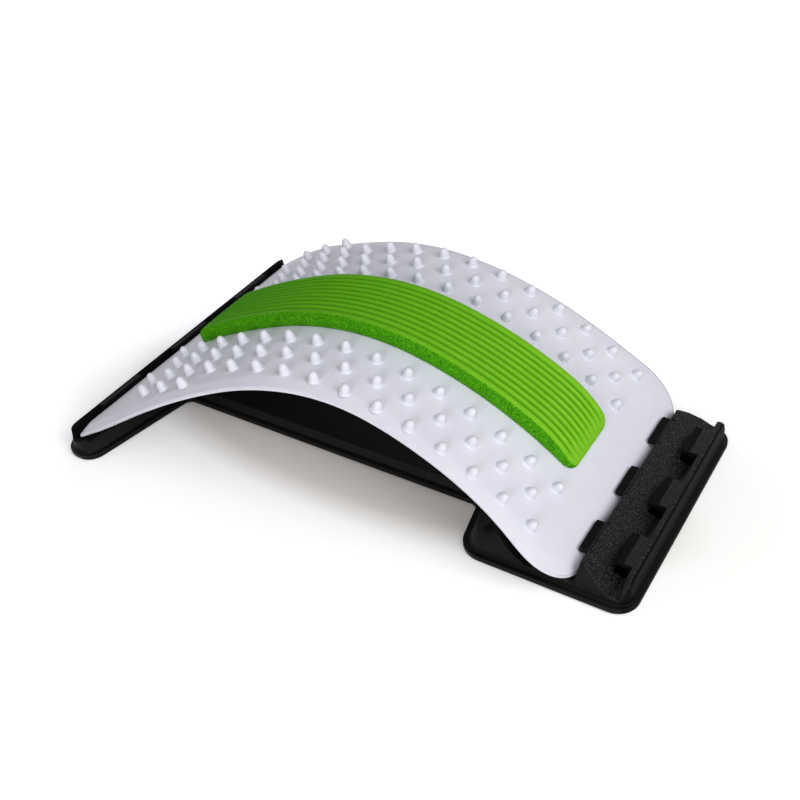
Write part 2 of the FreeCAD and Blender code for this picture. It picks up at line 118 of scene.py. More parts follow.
def smooth_step(low: float, high: float, value: Array) -> Array:
    """Ease from 0 at low to 1 at high, as 3t squared less 2t cubed."""
    share = np.clip((value - low) / (high - low), 0, 1)
    return share * share * (3 - 2 * share)


def quarter_round(share: Array) -> Array:
    """Height of a quarter circle, from 0 to 1, at a share of its radius: the root of 1 - (1 - share) squared."""
    return np.sqrt(1 - (1 - np.clip(share, 0, 1)) ** 2)


def resample(points: Array, count: int) -> Array:
    """Place count points, without the last end, evenly by length along a polyline.

    Args:
        points: the polyline, one point per row.
        count: how many points to give.

    Returns:
        The points, the first of which is the polyline's own first point.
    """
    steps = np.hypot(*np.diff(points, axis=0).T)
    run = np.concatenate([[0], np.cumsum(steps)])
    at = np.linspace(0, run[-1], count, endpoint=False)
    return np.stack([np.interp(at, run, points[:, axis]) for axis in (0, 1)], axis=1)


def grid_faces(rows: int, columns: int, first: int = 0, closed: bool = False) -> Array:
    """Quads of a grid of vertices that are numbered row by row.

    Args:
        rows: vertices along the first parameter.
        columns: vertices along the second parameter.
        first: number of the grid's first vertex.
        closed: whether the last column joins the first one.

    Returns:
        One quad per row, as four vertex numbers.
    """
    index = first + np.arange(rows * columns).reshape(rows, columns)
    if closed:
        index = np.concatenate([index, index[:, :1]], axis=1)
    quads = np.stack([index[:-1, :-1], index[1:, :-1], index[1:, 1:], index[:-1, 1:]], axis=-1)
    return quads.reshape(-1, 4)


def make_piece(name: str, points: Array, faces: Array | list, materials: list[bpy.types.Material],
               slots: Array | None = None) -> bpy.types.Object:
    """Put points in millimetres and faces into a smooth mesh object at the origin.

    Args:
        name: the piece's name.
        points: one point per row, in millimetres in the object's frame.
        faces: vertex numbers of each face.
        materials: the piece's materials, in slot order.
        slots: material slot of each face, or None for the first.

    Returns:
        The new object, linked to the scene.
    """
    mesh = bpy.data.meshes.new(name)
    mesh.from_pydata((points * MM).tolist(), [], [list(map(int, face)) for face in faces])
    mesh.update()
    mesh.polygons.foreach_set("use_smooth", np.ones(len(mesh.polygons), dtype=bool))
    for material in materials:
        mesh.materials.append(material)
    if slots is not None:
        mesh.polygons.foreach_set("material_index", np.asarray(slots, dtype=np.int32))
    piece = bpy.data.objects.new(name, mesh)
    bpy.context.collection.objects.link(piece)
    return piece


# Finishes


@dataclass(frozen=True)
class Finish:
    """A material that starts from a real one: its colours, gloss and surface relief.

    The colour is mottled with a shade of it. The relief is a bump of two noises, a fine grain and a slow
    waviness. Every pattern is on Object coordinates, and every size and height is in millimetres.
    """

    name: str
    colour: str
    shade: str
    shade_size: float
    roughness: float
    ior: float
    grain: float
    grain_height: float
    wave: float
    wave_height: float
    shade_range: tuple[float, float] = (0.35, 0.65)
    roughness_spread: float = 0.05
    specular: float = 0.5
    painted_shade: str = ""

    def build(self) -> bpy.types.Material:
        """Make the material's nodes.

        Returns:
            The new material.
        """
        material = bpy.data.materials.new(self.name)
        material.use_nodes = True
        tree = material.node_tree
        tree.nodes.clear()
        place = add_node(tree, "ShaderNodeTexCoord").outputs["Object"]
        fine = add_node(tree, "ShaderNodeTexNoise", {
            "Vector": place, "Scale": pattern_scale(self.grain), **FINE_NOISE}).outputs["Fac"]
        slow = add_node(tree, "ShaderNodeTexNoise", {
            "Vector": place, "Scale": pattern_scale(self.wave), **SLOW_NOISE}).outputs["Fac"]
        gloss = add_node(tree, "ShaderNodeMapRange", {
            "Value": fine, **NOISE_SPAN, "To Min": self.roughness - self.roughness_spread,
            "To Max": self.roughness + self.roughness_spread})
        waviness = add_node(tree, "ShaderNodeBump", {
            "Height": slow, "Strength": 1.0, "Distance": self.wave_height * MM})
        relief = add_node(tree, "ShaderNodeBump", {
            "Height": fine, "Strength": 1.0, "Distance": self.grain_height * MM,
            "Normal": waviness.outputs["Normal"]})
        shader = add_node(tree, "ShaderNodeBsdfPrincipled", {
            "Base Color": self.paint(tree, place), "Roughness": gloss.outputs["Result"], "IOR": self.ior,
            "Specular IOR Level": self.specular, "Normal": relief.outputs["Normal"]})
        add_node(tree, "ShaderNodeOutputMaterial", {"Surface": shader.outputs["BSDF"]})
        return material

    def paint(self, tree: NodeTree, place: bpy.types.NodeSocket) -> bpy.types.NodeSocket:
        """Mottle the colour with its shade, by a noise whose range is stretched to the whole of 0 to 1.

        Where the finish has a painted shade colour, the piece's own point attribute leads from the rest to it:
        painted shade in the foam's channels and towards its left end.

        Args:
            tree: the material's node tree.
            place: the Object coordinates.

        Returns:
            The colour's socket.
        """
        patch = add_node(tree, "ShaderNodeTexNoise", {
            "Vector": place, "Scale": pattern_scale(self.shade_size), **MOTTLE_NOISE})
        share = add_node(tree, "ShaderNodeMapRange", {
            "Value": patch.outputs["Fac"], "From Min": self.shade_range[0], "From Max": self.shade_range[1]})
        colour = add_node(tree, "ShaderNodeMix", {
            "Factor": share.outputs["Result"], MIX_A: to_linear(self.colour), MIX_B: to_linear(self.shade)},
            data_type="RGBA").outputs[MIX_RESULT]
        # Painted shade: darker in the foam's channels and towards its left end
        if self.painted_shade:
            depth = add_node(tree, "ShaderNodeAttribute", attribute_name=PAINTED_SHADE_ATTRIBUTE)
            colour = add_node(tree, "ShaderNodeMix", {
                "Factor": depth.outputs["Fac"], MIX_A: colour, MIX_B: to_linear(self.painted_shade)},
                data_type="RGBA").outputs[MIX_RESULT]
        return colour


class Finishes(Enum):
    """Every finish on the object.

    Real grain of these kinds is a few hundredths to a few tenths of a millimetre. That is too fine to show in
    the render, so every grain, and the mottling of the grained plastic, whose speckles are painted glints, and of
    the cut foam, is drawn as coarse as it needs to show.
    """

    # Polypropylene moulded in a polished tool: an even white with a cool cast and a soft sheen
    PLATE = Finish(
        "moulded_polypropylene_white", "#DFDFEA", shade="#DADAE6", shade_size=40.0,
        roughness=0.42, roughness_spread=0.04, ior=1.49,
        grain=0.7, grain_height=0.004, wave=45.0, wave_height=0.04)
    # ABS from a spark-eroded tool: the grit of the tool is left as a grain, and its grey speckles are painted glints
    # off the grain's tips
    GRAINED = Finish(
        "spark_eroded_abs_black", "#030303", shade="#414345", shade_size=0.65, shade_range=(0.50, 0.63),
        roughness=0.40, roughness_spread=0.16, ior=1.53, specular=0.085,
        grain=1.1, grain_height=0.16, wave=25.0, wave_height=0.03)
    # ABS from a fine-stoned tool: dark, with broad soft highlights
    SATIN = Finish(
        "satin_abs_black", "#0C0C0B", shade="#0F0F0D", shade_size=14.0,
        roughness=0.45, ior=1.53, specular=0.085,
        grain=0.6, grain_height=0.008, wave=25.0, wave_height=0.04)
    # ABS from a chemically etched tool: dull; its darker colour and lower sheen are painted shade, so that the tabs
    # and the outer wall stay dark in the key light
    DULL_SHADED = Finish(
        "dull_abs_black_painted_shade", "#040404", shade="#060607", shade_size=10.0,
        roughness=0.60, ior=1.53, specular=0.042,
        grain=0.6, grain_height=0.008, wave=25.0, wave_height=0.03)
    # The skin of pressed EVA foam: smooth and slightly waxy; its darker colour is painted shade in the channels
    # between the ribs and towards the left end
    FOAM_SKIN = Finish(
        "eva_foam_skin_green", "#83C62C", shade="#7BBF26", shade_size=9.0, painted_shade="#338F02",
        roughness=0.5, ior=1.48, specular=0.03,
        grain=0.8, grain_height=0.010, wave=12.0, wave_height=0.05)
    # The cut side of EVA foam: opened cells, so darker and rough
    FOAM_CUT = Finish(
        "eva_foam_cut_green", "#60BA18", shade="#1A6406", shade_size=0.6, shade_range=(0.42, 0.58),
        roughness=0.85, ior=1.45, specular=0.04,
        grain=0.7, grain_height=0.20, wave=12.0, wave_height=0.05)
    # Nitrile rubber sheet: dull and faintly dusty
    RUBBER = Finish(
        "nitrile_rubber_black", "#1C1C1C", shade="#242424", shade_size=3.0,
        roughness=0.8, ior=1.52, grain=0.5, grain_height=0.03, wave=10.0, wave_height=0.03)
    # Double-sided foam tape: an open-celled off-white
    TAPE = Finish(
        "foam_tape_white", "#D9D7CF", shade="#CFCDC4", shade_size=2.0,
        roughness=0.9, roughness_spread=0.04, ior=1.45,
        grain=0.6, grain_height=0.05, wave=10.0, wave_height=0.03)


# Each finish's material, filled by main() before it builds the pieces
MATERIALS: dict[Finishes, bpy.types.Material] = {}


# The plate's curve


@dataclass
class Arch:
    """Side view of the plate: tangent arcs between its two seats, as in the solids.

    Lengths in millimetres, turns in degrees. The shares say how the length and the whole turn are divided among
    the arcs.
    """

    start: tuple[float, float]
    end: tuple[float, float]
    rise: float = 87.5
    length_shares: tuple[float, ...] = (0.199, 0.161, 0.107, 0.161, 0.134, 0.107, 0.131)
    turn_shares: tuple[float, ...] = (0.091, 0.102, 0.156, 0.287, 0.162, 0.128, 0.075)
    least_turn: float = 20.0
    most_turn: float = 140.0
    halvings: int = 50
    rise_samples: int = 200
    table_samples: int = 2000
    radii: Array = field(init=False)
    breaks: Array = field(init=False)
    tangents: Array = field(init=False)
    centre_x: Array = field(init=False)
    centre_z: Array = field(init=False)
    length: float = field(init=False)

    def __post_init__(self) -> None:
        """Find the whole turn, by halving, that lifts the top to the rise."""
        low, high = self.least_turn, self.most_turn
        for _ in range(self.halvings):
            turn = (low + high) / 2
            self.build(math.radians(turn))
            if self.point(np.linspace(0, self.length, self.rise_samples), 0)[1].max() < self.rise:
                low = turn
            else:
                high = turn

    def build(self, turn: float) -> None:
        """Lay the arcs end to end, then scale and turn the chain so that it runs from start to end.

        Args:
            turn: the whole turn of the chain, in radians.
        """
        lengths = np.array(self.length_shares)
        turns = np.array(self.turn_shares) * turn
        after = -np.cumsum(turns)
        before = after + turns
        radii = lengths / turns
        run = (radii * (np.sin(before) - np.sin(after))).sum(), (radii * (np.cos(after) - np.cos(before))).sum()
        span = self.end[0] - self.start[0], self.end[1] - self.start[1]
        scale = math.hypot(*span) / math.hypot(*run)
        lift = math.atan2(span[1], span[0]) - math.atan2(run[1], run[0])
        self.radii = radii * scale
        self.breaks = np.concatenate([[0], np.cumsum(lengths * scale)])
        self.length = float(self.breaks[-1])
        self.tangents = before + lift
        last = after + lift
        steps_x = self.radii * (np.sin(self.tangents) - np.sin(last))
        steps_z = self.radii * (np.cos(last) - np.cos(self.tangents))
        corner_x = self.start[0] + np.concatenate([[0], np.cumsum(steps_x)[:-1]])
        corner_z = self.start[1] + np.concatenate([[0], np.cumsum(steps_z)[:-1]])
        self.centre_x = corner_x + self.radii * np.sin(self.tangents)
        self.centre_z = corner_z - self.radii * np.cos(self.tangents)

    def point(self, place: Array, offset: Array | float) -> tuple[Array, Array]:
        """X and Z at arc lengths from the left end and heights above the top face, on each arc's own circle.

        Args:
            place: arc lengths.
            offset: heights along the plate's normal.

        Returns:
            The X values and the Z values.
        """
        arc = np.clip(np.searchsorted(self.breaks, place, side="right") - 1, 0, len(self.radii) - 1)
        angle = self.tangents[arc] - (place - self.breaks[arc]) / self.radii[arc]
        reach = self.radii[arc] + offset
        return self.centre_x[arc] - reach * np.sin(angle), self.centre_z[arc] + reach * np.cos(angle)

    def lift(self, place: Array, across: Array, offset: Array | float) -> Array:
        """Points in the object's frame from arc length, distance across and height, whatever the arrays' shape."""
        x, z = self.point(place, offset)
        return np.stack([x, np.broadcast_to(across, x.shape), z], axis=-1)

    def place_at(self, x: Array) -> Array:
        """Arc length at places along X, read backwards from a table of the curve."""
        table = np.linspace(0, self.length, self.table_samples)
        return np.interp(x, self.point(table, 0)[0], table)


# The plate


@dataclass
class Plate:
    """Bent plate with its nubs. Lengths in millimetres.

    A side share is a place along the span and the part of the widening from the waist to that end that the
    plate has there.
    """

    arch: Arch
    # Plan
    left_half_width: float = 119.5
    waist_half_width: float = 82.0
    right_half_width: float = 88.6
    left_corner: float = 15.0
    right_corner: float = 21.0
    left_side_shares: tuple[tuple[float, float], ...] = (
        (0.106, 1.0), (0.190, 0.73), (0.277, 0.46), (0.375, 0.25), (0.480, 0.10), (0.61, 0.0))
    right_side_shares: tuple[tuple[float, float], ...] = ((0.742, 0.05), (0.835, 0.27), (0.903, 0.73))
    corner_points: int = 12
    side_points: int = 400
    # Sheet, with its rolled and eased edge
    thickness: float = 2.8
    along: int = 170
    across: int = 64
    roll_width: float = 9.5
    roll_drop: float = 2.6
    roll_shares: tuple[float, ...] = (0.95, 0.8, 0.6, 0.4, 0.2, 0.08)
    roll_power: float = 1.05
    least_roll: float = 0.35
    roll_fade: tuple[float, float] = (60.0, 330.0)
    edge_round: float = 0.9
    edge_points: int = 4
    lower_edge_share: float = 0.4
    left_seat: float = 11.0
    right_seat: float = 8.0
    # Nubs, whose profile is a row of radii and heights
    nub_pitch: float = 21.1
    nub_row_pitch: float = 16.2
    nub_rows: int = 4
    nub_first_row: float = 40.4
    nub_first_place: float = 50.3
    nub_end_margin: float = 36.0
    nub_edge_margin: float = 8.9
    nub_profile: tuple[tuple[float, float], ...] = (
        (4.2, -0.05), (3.8, 0.1), (3.5, 0.4), (3.32, 0.9), (3.18, 1.8), (3.03, 2.8), (2.85, 3.8), (2.62, 4.7),
        (2.32, 5.5), (1.88, 6.2), (1.32, 6.76), (0.68, 7.09))
    nub_height: float = 7.2
    least_nub: float = 0.78
    nub_fade: tuple[float, float] = (110.0, 290.0)
    nub_sides: int = 20

    def side(self) -> Array:
        """Plan of one side curve: a smooth curve through the named points, with level ends.

        The curve is a chain of cubic Hermite pieces whose inner slopes solve the usual natural condition, that
        neighbouring pieces bend alike where they meet.

        Returns:
            X and half width along the curve, one point per row.
        """
        left, right = self.arch.start[0], self.arch.end[0]
        span, waist = right - left, self.waist_half_width
        knots = [(left + self.left_corner, self.left_half_width)]
        for shares, end in ((self.left_side_shares, self.left_half_width),
                            (self.right_side_shares, self.right_half_width)):
            knots += [(left + place * span, waist + share * (end - waist)) for place, share in shares]
        knots.append((right - self.right_corner, self.right_half_width))
        x, y = np.array(knots).T
        gaps = np.diff(x)
        rises = np.diff(y) / gaps
        system = np.eye(len(x))
        wanted = np.zeros(len(x))
        inner = np.arange(1, len(x) - 1)
        system[inner, inner - 1] = gaps[1:]
        system[inner, inner] = 2 * (gaps[1:] + gaps[:-1])
        system[inner, inner + 1] = gaps[:-1]
        wanted[inner] = 3 * (gaps[1:] * rises[:-1] + gaps[:-1] * rises[1:])
        slopes = np.linalg.solve(system, wanted)
        at = np.linspace(x[0], x[-1], self.side_points)
        piece = np.clip(np.searchsorted(x, at, side="right") - 1, 0, len(gaps) - 1)
        t = (at - x[piece]) / gaps[piece]
        value = ((2 * t**3 - 3 * t**2 + 1) * y[piece] + (t**3 - 2 * t**2 + t) * gaps[piece] * slopes[piece]
                 + (3 * t**2 - 2 * t**3) * y[piece + 1] + (t**3 - t**2) * gaps[piece] * slopes[piece + 1])
        return np.stack([at, value], axis=1)

    def corner(self, end: float, inwards: int, radius: float, half_width: float, angle: Array) -> Array:
        """Points on the quarter circle of a front corner.

        Args:
            end: X of the plate's end.
            inwards: 1 at the left end, -1 at the right end.
            radius: the circle's radius.
            half_width: half the plate's width at that end.
            angle: angles in radians, 0 where the circle meets the side and a right angle where it meets the end.

        Returns:
            X and distance across, one point per row.
        """
        return np.stack([end + inwards * radius * (1 - np.sin(angle)),
                         -half_width + radius * (1 - np.cos(angle))], axis=1)

    def outline(self) -> Array:
        """Closed outline in arc length and distance across, from the middle of the front left corner.

        Each quarter of the outline is resampled evenly, so that opposite quarters have as many points.

        Returns:
            Points, one per row, counter-clockwise seen from above.
        """
        left = self.arch.start[0], 1, self.left_corner, self.left_half_width
        right = self.arch.end[0], -1, self.right_corner, self.right_half_width
        turn = np.linspace(0, math.pi / 4, self.corner_points)
        rest = math.pi / 4 + turn
        mirror = (1, -1)
        front = np.concatenate([self.corner(*left, math.pi / 4 - turn)[:-1], self.side() * mirror,
                                self.corner(*right, turn)[1:]])
        left_end, right_end = self.corner(*left, rest), self.corner(*right, rest)
        right_run = np.concatenate([right_end, (right_end * mirror)[::-1]])
        left_run = np.concatenate([left_end * mirror, left_end[::-1]])
        runs = ((front, self.along), (right_run, self.across), ((front * mirror)[::-1], self.along),
                (left_run, self.across))
        flat = [np.stack([self.arch.place_at(run[:, 0]), run[:, 1]], axis=1) for run, _ in runs]
        return np.concatenate([resample(run, count) for run, (_, count) in zip(flat, runs)])

    def ring(self, inset: float) -> Array:
        """The outline moved inwards along its own normals."""
        loop = self.outline()
        tangent = np.roll(loop, -1, axis=0) - np.roll(loop, 1, axis=0)
        tangent /= np.linalg.norm(tangent, axis=1, keepdims=True)
        return loop + inset * np.stack([-tangent[:, 1], tangent[:, 0]], axis=1)

    def patch(self, loop: Array) -> Array:
        """Fill a closed loop with a grid by blending its four sides.

        The grid is a Coons patch: front and back blended across, plus left and right blended along, less the
        corners blended both ways.

        Args:
            loop: points of the closed loop, in the order of the outline.

        Returns:
            Grid of points, along by across.
        """
        n, m = self.along, self.across
        closed = np.concatenate([loop, loop[:1]])
        front = closed[:n + 1]
        right = closed[n:n + m + 1]
        back = closed[n + m:2 * n + m + 1][::-1]
        left = closed[2 * n + m:][::-1]
        u = np.linspace(0, 1, n + 1)[:, None, None]
        v = np.linspace(0, 1, m + 1)[None, :, None]
        sides = (1 - v) * front[:, None] + v * back[:, None] + (1 - u) * left[None] + u * right[None]
        corners = ((1 - u) * (1 - v) * front[0] + u * (1 - v) * front[-1] + (1 - u) * v * back[0] + u * v * back[-1])
        return sides - corners

    def border(self) -> list[tuple[float, float, float]]:
        """Rings down the rolled edge, round it and back under it.

        Across the roll's width the drop grows from nothing to the whole at the edge, as one less the share of the
        width, raised to a power. The edge is a quarter circle above and a smaller one below, where the drop is
        smaller too.

        Returns:
            Inset, share of the roll's drop and height of each ring.
        """
        rings = [(self.roll_width * share, (1 - share) ** self.roll_power, 0.0) for share in self.roll_shares]
        turn = np.linspace(0, math.pi / 2, self.edge_points)
        upper, lower = self.edge_round, self.edge_round * self.lower_edge_share
        rings += [(upper * (1 - math.sin(a)), 1.0, -upper * (1 - math.cos(a))) for a in turn]
        rings += [(lower * (1 - math.cos(a)), self.lower_edge_share, -self.thickness + lower * (1 - math.sin(a)))
                  for a in turn]
        return rings

    def sheet(self) -> tuple[Array, Array]:
        """Top patch, rings round the edge and bottom patch, joined into one closed skin.

        The edge's roll fades along the plate: its drop eases from the whole at the left to the least share. No
        point lies lower than the seat at its end.

        Returns:
            Points in the object's frame, and quads.
        """
        middle = self.patch(self.ring(self.roll_width)).reshape(-1, 2)
        loops = [(self.ring(inset), share * self.roll_drop, height) for inset, share, height in self.border()]
        flat = np.concatenate([middle, *(loop for loop, _, _ in loops), middle])
        heights = [np.zeros(len(middle))]
        heights += [height - drop * (1 - (1 - self.least_roll) * smooth_step(*self.roll_fade, loop[:, 0]))
                    for loop, drop, height in loops]
        heights.append(np.full(len(middle), -self.thickness))
        points = self.arch.lift(flat[:, 0], flat[:, 1], np.concatenate(heights))
        seat = np.where(points[:, 0] < 0, self.left_seat, self.right_seat)
        points[:, 2] = np.maximum(points[:, 2], seat)
        rows, columns = self.along + 1, self.across + 1
        index = np.arange(len(middle)).reshape(rows, columns)
        rim = np.concatenate([index[:-1, 0], index[-1, :-1], index[:0:-1, -1], index[0, :0:-1]])
        rings = len(middle) + np.arange(len(loops) * len(rim)).reshape(len(loops), len(rim))
        below = len(flat) - len(middle)
        chain = [rim, *rings, rim + below]
        strips = [np.stack([inner, outer, np.roll(outer, -1), np.roll(inner, -1)], axis=1)
                  for inner, outer in zip(chain[:-1], chain[1:])]
        upper = grid_faces(rows, columns)
        lower = grid_faces(rows, columns, below)[:, ::-1]
        return points, np.concatenate([upper, *strips, lower])

    def nub_places(self) -> Array:
        """Arc length and distance across of every nub: alternate rows are shifted by half a pitch.

        Returns:
            One nub per row, both sides of the middle.
        """
        half_widths = self.side()
        places = []
        for row in range(self.nub_rows):
            y = self.nub_first_row + row * self.nub_row_pitch
            first = self.nub_first_place + row % 2 * self.nub_pitch / 2
            at = np.arange(first, self.arch.length - self.nub_end_margin, self.nub_pitch)
            edge = np.interp(self.arch.point(at, 0)[0], half_widths[:, 0], half_widths[:, 1])
            kept = at[y + self.nub_edge_margin <= edge]
            places += [(place, side * y) for place in kept for side in (-1, 1)]
        return np.array(places)

    def nubs(self) -> tuple[Array, list[Array]]:
        """Every nub as a turned profile, flared into the plate and laid on its curve, with one tip point.

        The nubs get lower towards the toothed foot: their height eases from the whole to the least share.

        Returns:
            Points in the object's frame, and faces as arrays of quads and of triangles.
        """
        centres = self.nub_places()
        radius, height = np.array(self.nub_profile).T
        angle = np.arange(self.nub_sides) * 2 * math.pi / self.nub_sides
        place = centres[:, 0, None, None] + radius[:, None] * np.cos(angle)
        across = centres[:, 1, None, None] + radius[:, None] * np.sin(angle)
        share = 1 - (1 - self.least_nub) * smooth_step(*self.nub_fade, centres[:, 0])
        offset = np.broadcast_to(share[:, None, None] * height[:, None], place.shape)
        bodies = self.arch.lift(place, across, offset)
        tips = self.arch.lift(centres[:, 0], centres[:, 1], share * self.nub_height)
        rings, sides = len(radius), self.nub_sides
        block = rings * sides
        starts = np.arange(len(centres)) * block
        quads = (grid_faces(rings, sides, closed=True)[None, :, ::-1] + starts[:, None, None]).reshape(-1, 4)
        last = starts[:, None] + (rings - 1) * sides + np.arange(sides)
        tip = np.broadcast_to(len(centres) * block + np.arange(len(centres))[:, None], last.shape)
        caps = np.stack([last, np.roll(last, -1, axis=1), tip], axis=-1).reshape(-1, 3)
        return np.concatenate([bodies.reshape(-1, 3), tips]), [quads, caps]

    def build(self) -> bpy.types.Object:
        """Make the plate and nubs as one piece that stands for the plate node.

        Returns:
            The bent plate.
        """
        sheet, quads = self.sheet()
        nubs, (sides, caps) = self.nubs()
        faces = [*quads, *(sides + len(sheet)), *(caps + len(sheet))]
        piece = make_piece("bent_plate", np.concatenate([sheet, nubs]), faces, [MATERIALS[Finishes.PLATE]])
        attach(piece, "arch_body")
        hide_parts("arch_plate")
        return piece


# The foam strip


@dataclass
class FoamStrip:
    """Ribbed foam strip along the plate. Lengths in millimetres."""

    arch: Arch
    left_margin: float = 49.6
    right_margin: float = 35.2
    width: float = 48.0
    underside: float = 1.0
    thickness: float = 9.2
    # Ribs, and the painted shade in the channels between them and towards the left end
    ribs: int = 10
    channel_depth: float = 2.1
    rib_fade: tuple[float, float] = (0.15, 0.8)
    left_painted_shade: float = 0.86
    painted_shade_power: float = 1.5
    # Ends
    left_lip: float = 2.4
    right_lip: float = 0.5
    left_round: float = 13.0
    right_round: float = 36.0
    right_fall: float = 1.5
    left_corner: float = 4.0
    right_corner: float = 7.5
    # Long edges: the crown's fall, the shoulder and the foot, which flares out over the plate
    edge_drop: float = 0.5
    crown_power: int = 8
    edge_round: float = 0.9
    shoulder_share: float = 0.4
    skirt_drop: float = 0.9
    skirt_flare: float = 0.7
    foot_inset: float = 0.5
    foot_height: float = 0.4
    # Rows and points
    rows: int = 150
    end_rows: int = 26
    points_per_rib: int = 10
    foot_points: int = 3
    shoulder_points: int = 4

    def rows_along(self) -> Array:
        """Arc lengths of the sections, closer together towards both ends by a cosine."""
        first = self.left_margin
        last = self.arch.length - self.right_margin
        turn = 1 - np.cos(np.linspace(0, math.pi / 2, self.end_rows))
        middle = np.linspace(first + self.left_round, last - self.right_round, self.rows)[1:-1]
        return np.concatenate([first + self.left_round * turn, middle, (last - self.right_round * turn)[::-1]])

    def section(self, place: Array) -> tuple[Array, Array, Array]:
        """Closed cross-sections: up one side, over the ribs and down the other side.

        The top is a row of rounded ribs, the size of a sine without its sign, so that they meet in narrow
        channels; the outer halves of the two outermost ribs stay high. Towards an end the whole top comes down
        on a quarter ellipse, on the right raised to a power so that it falls sooner, and the sides come in on
        the corner's circle. The share of painted shade rises in the channels and towards the left end.
        Each side is three points of the foot and a quarter circle at the shoulder.

        Args:
            place: arc length of each section.

        Returns:
            Distance across, height above the plate and share of painted shade, sections by points.
        """
        first = self.left_margin
        last = self.arch.length - self.right_margin
        end = np.minimum(place - first, last - place)
        on_left = place - first < last - place
        corner = np.where(on_left, self.left_corner, self.right_corner)
        half = (self.width / 2 - corner * (1 - quarter_round(end / corner)))[:, None]
        lip = np.where(on_left, self.left_lip, self.right_lip)
        dome = quarter_round(end / np.where(on_left, self.left_round, self.right_round))
        dome = np.where(on_left, dome, dome ** self.right_fall)
        top = (lip + (self.thickness - lip) * dome)[:, None]
        count = self.ribs * self.points_per_rib
        v = np.linspace(-1, 1, count + 1)
        rib = np.where(np.abs(v) > 1 - 1 / self.ribs, 1.0, np.abs(np.sin(math.pi * self.ribs * (v + 1) / 2)))
        fade = smooth_step(*self.rib_fade, dome)[:, None]
        inner = half - self.edge_round
        across = v[None, :] * inner
        crown = self.edge_drop * (np.abs(v) ** self.crown_power)[None, :]
        height = top - fade * (self.channel_depth * (1 - rib)[None, :] + crown)
        turn = np.linspace(0, math.pi / 2, self.shoulder_points, endpoint=False)
        rounding = np.minimum(self.edge_round, top * self.shoulder_share)
        shoulder = height[:, :1]
        side_y = -half + self.edge_round * (1 - np.cos(turn))[None, :]
        side_z = shoulder - rounding + rounding * np.sin(turn)[None, :]
        flare = half + self.skirt_flare
        level = np.zeros_like(half) - self.skirt_drop
        foot_y = np.concatenate([-flare + self.foot_inset, -flare, -half - self.skirt_flare / 2], axis=1)
        foot_z = np.concatenate([level, level + self.foot_height, (self.foot_height + side_z[:, :1]) / 2], axis=1)
        left_y = np.concatenate([foot_y, side_y], axis=1)
        left_z = np.concatenate([foot_z, side_z], axis=1)
        y = np.concatenate([left_y, across, -left_y[:, ::-1]], axis=1)
        z = np.concatenate([left_z, height, left_z[:, ::-1]], axis=1)
        # Painted shade, darker towards the left end and in the channels between the ribs
        end_shade = self.left_painted_shade * (last - place)[:, None] / (last - first)
        painted_shade = np.repeat(end_shade, y.shape[1], axis=1)
        side = self.foot_points + self.shoulder_points
        painted_shade[:, side:-side] += (1 - end_shade) ** 2 * fade * (1 - rib) ** self.painted_shade_power
        return y, self.underside + z, np.minimum(painted_shade, 1)

    def build(self) -> bpy.types.Object:
        """Make the strip, smooth all round, and its two flat ends as one piece that stands for the foam node.

        The faces of both sides and of the underside are cut foam, the rest is skin.

        Returns:
            The foam strip.
        """
        place = self.rows_along()
        y, z, painted_shade = self.section(place)
        rows, columns = y.shape
        points = self.arch.lift(np.broadcast_to(place[:, None], y.shape), y, z).reshape(-1, 3)
        quads = grid_faces(rows, columns, closed=True)[:, ::-1]
        column = np.arange(len(quads)) % columns
        side = self.foot_points + self.shoulder_points
        cut = (column < side - 1) | (column >= columns - side)
        ends = [np.arange(columns), np.arange(columns)[::-1] + (rows - 1) * columns]
        slots = np.concatenate([cut, [False, False]])
        piece = make_piece("foam_strip", points, [*quads, *ends],
                           [MATERIALS[Finishes.FOAM_SKIN], MATERIALS[Finishes.FOAM_CUT]], slots)
        piece.data.polygons.foreach_set("use_smooth", np.arange(len(slots)) < len(quads))
        # The point attribute carries the painted shade of the channels and of the left end
        depth = piece.data.attributes.new(PAINTED_SHADE_ATTRIBUTE, "FLOAT", "POINT")
        depth.data.foreach_set("value", painted_shade.ravel())
        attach(piece, "arch_body")
        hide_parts("foam_pad")
        return piece


# The base


